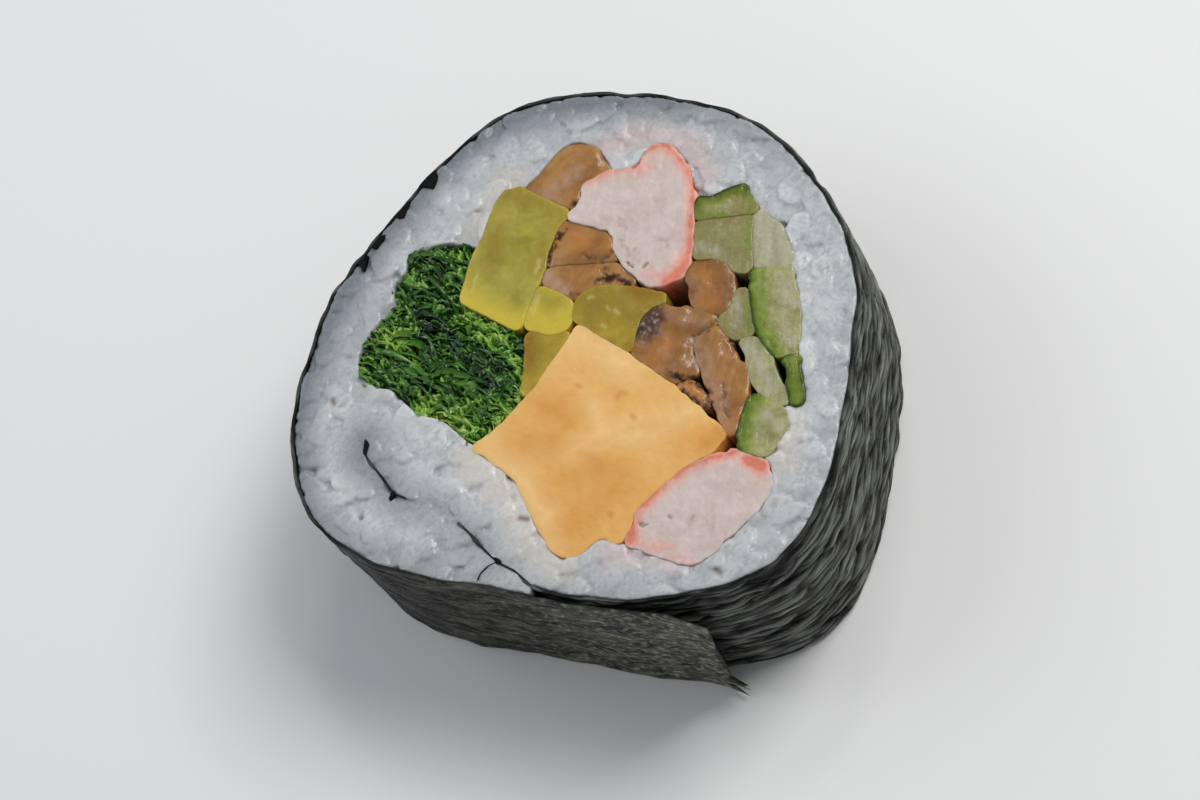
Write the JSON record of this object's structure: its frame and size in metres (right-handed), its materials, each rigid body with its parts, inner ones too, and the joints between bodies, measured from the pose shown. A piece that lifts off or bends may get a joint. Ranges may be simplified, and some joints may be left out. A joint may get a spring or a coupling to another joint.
{
  "type": "thick sushi roll slice",
  "caption": "Round slice of a thick rice roll wrapped in dried seaweed, with egg, greens, pickled radish, crab sticks, mushroom and cucumber in the middle.",
  "frame": {"origin": "middle of the bottom of the slice's box, on the rear cut face that it rests on", "axes": "+Z along the roll's axis, from the rear cut face to the front one; +Y to the top of the slice as served; +X to the right as the front face is seen"},
  "size_m": [0.0544, 0.055, 0.0202],
  "materials": {
    "seaweed": "satin, finely wrinkled",
    "rice": "moist, grainy",
    "greens": "wet, leafy",
    "radish": "wet, translucent",
    "egg": "satin, finely pored",
    "crab": "moist, fibrous",
    "mushroom": "wet, translucent",
    "gourd": "wet, translucent",
    "cucumber": "wet, translucent"
  },
  "bodies": {
    "root": {"seaweed_wrap": "seaweed", "rice_bed": "rice", "greens_bundle": "greens", "radish_wide": "radish", "radish_small": "radish", "radish_middle": "radish", "radish_sliver": "radish", "egg_block": "egg", "crab_stick_upper": "crab", "crab_stick_lower": "crab", "mushroom_top": "mushroom", "mushroom_fold": "mushroom", "mushroom_gill": "mushroom", "mushroom_cap_left": "mushroom", "mushroom_cap_right": "mushroom", "mushroom_shred": "mushroom", "gourd_strip": "gourd", "cucumber_peaked": "cucumber", "cucumber_square": "cucumber", "cucumber_pale": "cucumber", "cucumber_long": "cucumber", "cucumber_stub": "cucumber", "cucumber_slant": "cucumber", "cucumber_thin": "cucumber", "cucumber_low": "cucumber"}
  },
  "joints": []
}
